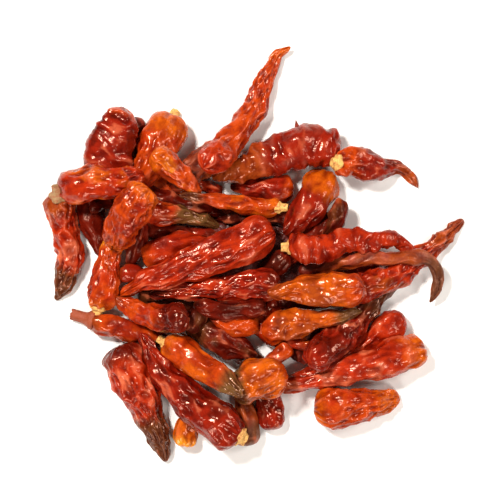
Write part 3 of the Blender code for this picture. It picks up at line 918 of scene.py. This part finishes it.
    def colours(
        self, skin: np.ndarray, share: np.ndarray, number: int, pod: Pod
    ) -> np.ndarray:
        """Work out a skin's tones: crown, body and tip, with blotches.

        Args:
            skin: places on the unbent skin, in metres.
            share: the share of the length at each place.
            number: the pod's number, which seeds its noise.
            pod: the pod.

        Returns:
            Red, green, blue and opacity at each place.
        """
        grain = Grain(TONE_SEED + number)
        flecks = grain.at(skin / self.fleck_size + FLECK_START)
        blotch = grain.at(skin / self.blotch_size) + self.fleck_share * flecks
        ragged = share + self.edge_share * grain.at(skin / self.edge_size + EDGE_START)
        tone = np.tile(pod.body.value, (len(skin), 1))
        edge = self.blotch_level * (1 - 2 * pod.blotched)
        layers = (
            (pod.patch, self.blotch_tint * faded(blotch, edge, self.blotch_fade)),
            (pod.crown, 1 - faded(ragged, pod.crown_to, self.crown_fade)),
            (pod.tip, faded(ragged, pod.tip_from, self.tip_fade)),
        )
        for shade, weight in layers:
            tone += (np.array(shade.value) - tone) * weight[:, None]
        return np.column_stack((tone, np.ones(len(skin))))


@dataclass(frozen=True)
class StalkFinish:
    """The dry, fibrous wood of the cut stalks, over the tone that each carries."""

    name: str = "cut_stalk_wood"
    roughness: tuple[float, float] = (0.5, 0.8)
    stain_size: float = 0.0014
    stained: float = 0.8  # how much of the stains shows
    fibre_size: float = 0.0004
    fibrous: float = 0.5  # how dark the fibres are
    relief: float = 0.0002  # depth of the fibres
    bumpiness: float = 0.7  # how much of that depth shows

    def material(self) -> bpy.types.Material:
        """Build the material: fibres, stains and a fine bump."""
        graph = Graph(self.name)
        tone = graph.attribute("tone", "Color")
        stain = graph.noise(self.stain_size, 3.0, 0.6, 0.5)
        fibre = graph.noise(self.fibre_size, 3.0, 0.6)
        tone = graph.mix(graph.span(stain, 0.42, 0.7, 0.0, self.stained), tone, paint(Tone.RUST))
        tone = graph.shade(graph.span(fibre, 0.4, 0.65, 0.0, self.fibrous), tone, Tone.FIBRE_SHADE)
        graph.set("Base Color", tone)
        graph.set("Roughness", graph.span(fibre, 0.3, 0.7, *self.roughness))
        graph.bump(fibre, self.bumpiness, self.relief)
        return graph.material


@dataclass(frozen=True)
class CutStalks:
    """The short cut stalks with the calyx that each stands in, as one piece."""

    sides: int = 28
    rings: int = 14
    sunk: float = 0.0016  # length inside the pod
    taper: float = 0.86  # cut end over the middle
    calyx: float = 1.5  # width of the calyx over the stalk's
    calyx_share: float = 3.2  # length of the stalk over the calyx's
    stalk_share: float = 0.06  # share of a pod's length that points its stalk
    rims: tuple[tuple[float, float], ...] = ((0.34, 0.0), (0.3, -0.12))  # its end's steps
    flutes: int = 5
    flute_depth: float = 0.07  # over the stalk's radius
    knots: tuple[float, float, float] = (1.7, 1.7, 2.2)  # cells of noise across and along
    knot_depth: float = 0.13  # over the stalk's radius
    torn_from: float = 0.9  # share of the length beyond which the cut end is ragged
    torn_depth: float = 0.1  # over the stalk's length

    def build(self, spines: list[tuple[int, Spine]]) -> bpy.types.Object:
        """Make the piece from the pods that have a stalk."""
        bm = bmesh.new()
        for number, spine in spines:
            if spine.pod.stalk:
                gather(bm, self.stalk(number, spine))
            for spur in SPURS:
                if spur.pod == number:
                    gather(bm, self.point(spur, spine))
        return finished("cut_stalks", bm, StalkFinish().material())

    def point(self, spur: Spur, spine: Spine) -> bmesh.types.BMesh:
        """Make one spur: a thin cone that stands out level from its pod's right side.

        Args:
            spur: the spur.
            spine: its pod's middle line.

        Returns:
            The spur's mesh, with its tone.
        """
        length, width = spur.length * STEP, spur.width * STEP
        middle, side, _ = spine.frame(spur.share)
        base = middle + side * (spine.half_width(spur.share) - length / 2)
        turn = Vector((0, 0, 1)).rotation_difference(side).to_matrix()
        bm = bmesh.new()
        bmesh.ops.create_cone(
            bm, cap_ends=True, segments=self.sides, radius1=width / 2, radius2=0.0, depth=length
        )
        tones = bm.verts.layers.float_color.new("tone")
        for vert in bm.verts:
            vert.co = base + turn @ (vert.co + Vector((0, 0, length / 2)))
            vert[tones] = paint(spur.tone)
        return bm

    def stalk(self, number: int, spine: Spine) -> bmesh.types.BMesh:
        """Make one stalk: a fluted plug with a flared calyx and a hollow cut end.

        Args:
            number: the pod's number, which seeds its noise.
            spine: the pod's middle line.

        Returns:
            The stalk's mesh, with its tone.
        """
        length, width = (size * STEP for size in spine.pod.stalk)
        start = spine.point(0.0)
        out = (start - spine.point(self.stalk_share)).normalized()
        bm = bmesh.new()
        bmesh.ops.create_cone(
            bm, cap_ends=True, segments=self.sides, radius1=1.0, radius2=1.0, depth=1.0
        )
        upright = [edge for edge in bm.edges if abs(edge.verts[0].co.z - edge.verts[1].co.z) > 0.5]
        bmesh.ops.subdivide_edges(bm, edges=upright, cuts=self.rings)
        top = max(bm.faces, key=lambda face: face.calc_center_median().z)
        for thickness, depth in self.rims:
            bmesh.ops.inset_individual(bm, faces=[top], thickness=thickness, depth=depth)
        tones = bm.verts.layers.float_color.new("tone")
        rows = np.array([vert.co for vert in bm.verts])
        noise = Grain(STALK_SEED + number).at(rows * self.knots + number)
        turn = Vector((0, 0, 1)).rotation_difference(out).to_matrix()
        whole = length + self.sunk
        for vert, rough in zip(bm.verts, noise.tolist()):
            share = min(1.0, vert.co.z + 0.5)
            angle = math.atan2(vert.co.y, vert.co.x)
            radial = math.hypot(vert.co.x, vert.co.y)
            wave = math.cos(self.flutes * angle + number)
            flute = 1 + self.flute_depth * wave + self.knot_depth * rough
            beyond = max(0.0, share * whole - self.sunk) / length
            flare = 1 + (self.calyx - 1) * max(0.0, 1 - self.calyx_share * beyond) ** 2
            size = width / 2 * radial * flute * flare * (1 - (1 - self.taper) * beyond)
            height = (vert.co.z + 0.5) * whole - self.sunk
            ragged = self.torn_depth * length * rough if beyond > self.torn_from else 0.0
            local = Vector((math.cos(angle) * size, math.sin(angle) * size, height + ragged))
            vert.co = start + turn @ local
            vert.co.z = max(vert.co.z, 0.0)
            vert[tones] = paint(spine.pod.stalk_tone)
        return bm


@dataclass(frozen=True)
class CoreFinish:
    """The dark, crumpled skins deep in the heap, whose darkness is partly the skins' own maroon
    and partly painted shade.
    """

    name: str = "core_skin"
    roughness: tuple[float, float] = (0.4, 0.7)
    cloud_size: float = 0.004
    wrinkle_size: float = 0.002
    wrinkle_warp: float = 0.0016  # how far the wrinkles wander
    relief: float = 0.0008  # depth of the wrinkles
    bumpiness: float = 0.9  # how much of that depth shows

    def material(self) -> bpy.types.Material:
        """Build the material: dark clouded skin with a crumpled bump."""
        graph = Graph(self.name)
        cloud = graph.noise(self.cloud_size, 4.0, 0.6, 0.6)
        net = graph.cracks(self.wrinkle_size, self.wrinkle_warp)
        clouded = graph.span(cloud, 0.35, 0.7)
        # partly painted shade: the core is mottled from oxblood to maroon so that it reads as pods
        # in shadow
        graph.set("Base Color", graph.mix(clouded, paint(Tone.OXBLOOD), paint(Tone.MAROON)))
        graph.set("Roughness", graph.span(cloud, 0.3, 0.7, *self.roughness))
        graph.bump(graph.sum(net, cloud, 1.0), self.bumpiness, self.relief)
        return graph.material


@dataclass(frozen=True)
class Core:
    """The low mound inside the heap that stands for the pods hidden there."""

    sides: int = 120
    rings: int = 60
    crumple_size: float = 0.005
    crumple_depth: float = 0.0012
    crumple_drop: float = 0.6  # share of that depth by which the whole lies lower

    def build(self, table: Table) -> bpy.types.Object:
        """Make the mound, crumpled, cut level with the table and closed there.

        Args:
            table: the table, which knows the core's sizes.

        Returns:
            The finished piece.
        """
        bm = bmesh.new()
        bmesh.ops.create_uvsphere(bm, u_segments=self.sides, v_segments=self.rings, radius=1.0)
        radii = Vector((table.core_radii[0] * STEP, table.core_radii[1] * STEP, table.core_height))
        bmesh.ops.scale(bm, vec=radii, verts=bm.verts)
        middle = Vector((table.core_middle[0] * STEP, table.core_middle[1] * STEP, 0))
        bmesh.ops.translate(bm, vec=middle, verts=bm.verts)
        rows = np.array([vert.co for vert in bm.verts])
        rises = Grain(CORE_SEED).at(rows / self.crumple_size)
        for vert, rise in zip(bm.verts, rises.tolist()):
            if vert.co.z > 0:
                vert.co.z += self.crumple_depth * (rise - self.crumple_drop)
        cut = bmesh.ops.bisect_plane(
            bm, geom=[*bm.verts, *bm.edges, *bm.faces], dist=1e-6,
            plane_co=(0, 0, 0), plane_no=(0, 0, 1), clear_inner=True,
        )
        rim = [part for part in cut["geom_cut"] if isinstance(part, bmesh.types.BMEdge)]
        bmesh.ops.holes_fill(bm, edges=rim, sides=0)
        return finished("heap_core", bm, CoreFinish().material())


def gather(whole: bmesh.types.BMesh, part: bmesh.types.BMesh) -> None:
    """Move one mesh, with its layers, into a piece's mesh."""
    mesh = bpy.data.meshes.new("part")
    part.to_mesh(mesh)
    part.free()
    whole.from_mesh(mesh)
    bpy.data.meshes.remove(mesh)


def finished(name: str, bm: bmesh.types.BMesh, material: bpy.types.Material) -> bpy.types.Object:
    """Turn a mesh into an object at the origin.

    Args:
        name: the piece's name.
        bm: its mesh, which is freed.
        material: its material.

    Returns:
        The object, smooth and linked to the scene.
    """
    mesh = bpy.data.meshes.new(name)
    bm.to_mesh(mesh)
    bm.free()
    mesh.shade_smooth()
    mesh.materials.append(material)
    piece = bpy.data.objects.new(name, mesh)
    bpy.context.scene.collection.objects.link(piece)
    return piece


@dataclass(frozen=True)
class Lamp:
    """A round soft light, aimed at the middle of the heap."""

    name: str
    place: tuple[float, float, float]
    size: float
    watts: float
    tint: Colour = (1.0, 0.96, 0.90)

    def build(self) -> None:
        """Hang the lamp in the scene."""
        light = bpy.data.lights.new(self.name, "AREA")
        light.shape = "DISK"
        light.size = self.size
        light.energy = self.watts
        light.color = self.tint
        lamp = bpy.data.objects.new(self.name, light)
        lamp.location = self.place
        lamp.rotation_euler = (-Vector(self.place)).to_track_quat("-Z", "Y").to_euler()
        bpy.context.scene.collection.objects.link(lamp)


LAMPS = (
    Lamp("key_light", (-0.42, 0.42, 0.85), 0.18, 14.0),
    Lamp("right_fill", (0.60, 0.25, 0.55), 0.25, 3.0),
    Lamp("lower_left_fill", (-0.35, -0.60, 0.55), 0.25, 3.0),
    Lamp("lower_right_fill", (0.40, -0.45, 0.70), 0.25, 3.0),
)


@dataclass(frozen=True)
class Studio:
    """A plain pale table, soft light, most of it from the upper left, and a camera above."""

    floor_size: float = 6.0
    floor_drop: float = 0.0002
    floor_tint: Colour = (0.93, 0.925, 0.92)
    mottle: float = 0.985  # tint of its faint spots over its own
    mottle_size: float = 0.05
    world_strength: float = 0.14
    world_tint: Colour = (1.0, 0.88, 0.78)
    lens: float = 135.0
    sensor: float = 36.0
    view_level: float = 0.008  # height over the table at which a step is true

    def build(self) -> None:
        """Set up the floor, the lights, the world and the camera."""
        self.add_floor()
        for lamp in LAMPS:
            lamp.build()
        self.add_world()
        self.add_camera()

    def add_floor(self) -> None:
        """Lay the pale table, with a faint mottle in it."""
        bm = bmesh.new()
        bmesh.ops.create_grid(bm, x_segments=8, y_segments=8, size=self.floor_size / 2)
        bmesh.ops.translate(bm, vec=(0, 0, -self.floor_drop), verts=bm.verts)
        graph = Graph("pale_table")
        cloud = graph.noise(self.mottle_size, 3.0)
        low = (*(self.mottle * part for part in self.floor_tint), 1.0)
        graph.set("Base Color", graph.mix(cloud, (*self.floor_tint, 1.0), low))
        graph.set("Roughness", 0.75)
        graph.set("Specular IOR Level", 0.2)
        finished("pale_table_top", bm, graph.material)

    def add_world(self) -> None:
        """Surround the table with faint, even, warm light."""
        world = bpy.data.worlds.new("white_room")
        world.use_nodes = True
        sky = world.node_tree.nodes["Background"]
        sky.inputs["Color"].default_value = (*self.world_tint, 1.0)
        sky.inputs["Strength"].default_value = self.world_strength
        bpy.context.scene.world = world
        bpy.context.scene.view_settings.view_transform = "Standard"

    def add_camera(self) -> None:
        """Look straight down, with FRAME_STEPS steps of the plan across the view."""
        lens = bpy.data.cameras.new("camera")
        lens.lens = self.lens
        lens.sensor_width = self.sensor
        lens.clip_start = 0.01
        camera = bpy.data.objects.new("camera", lens)
        distance = FRAME_STEPS * STEP * self.lens / self.sensor
        camera.location = (0, 0, self.view_level + distance)
        bpy.context.scene.collection.objects.link(camera)
        bpy.context.scene.camera = camera


def dress(piece: bpy.types.Object) -> None:
    """Let a piece ride on the heap's body, stand for its node and report itself."""
    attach(piece, BODY)
    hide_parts(NODE)
    LOG.info("%s: %d faces", piece.name, len(piece.data.polygons))


def main() -> None:
    """Build the heap piece by piece and set the scene."""
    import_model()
    table = Table()
    pods = BOTTOM_PODS + LOWER_PODS + MIDDLE_PODS + TOP_PODS
    spines = list(enumerate(table.settle(pods), 1))
    dress(Core().build(table))
    for finish in Finish:
        dress(PodSkins(finish).build(spines, table.flatness))
    dress(CutStalks().build(spines))
    Studio().build()


if __name__ == "__main__":
    logging.basicConfig(level=logging.INFO)
    main()
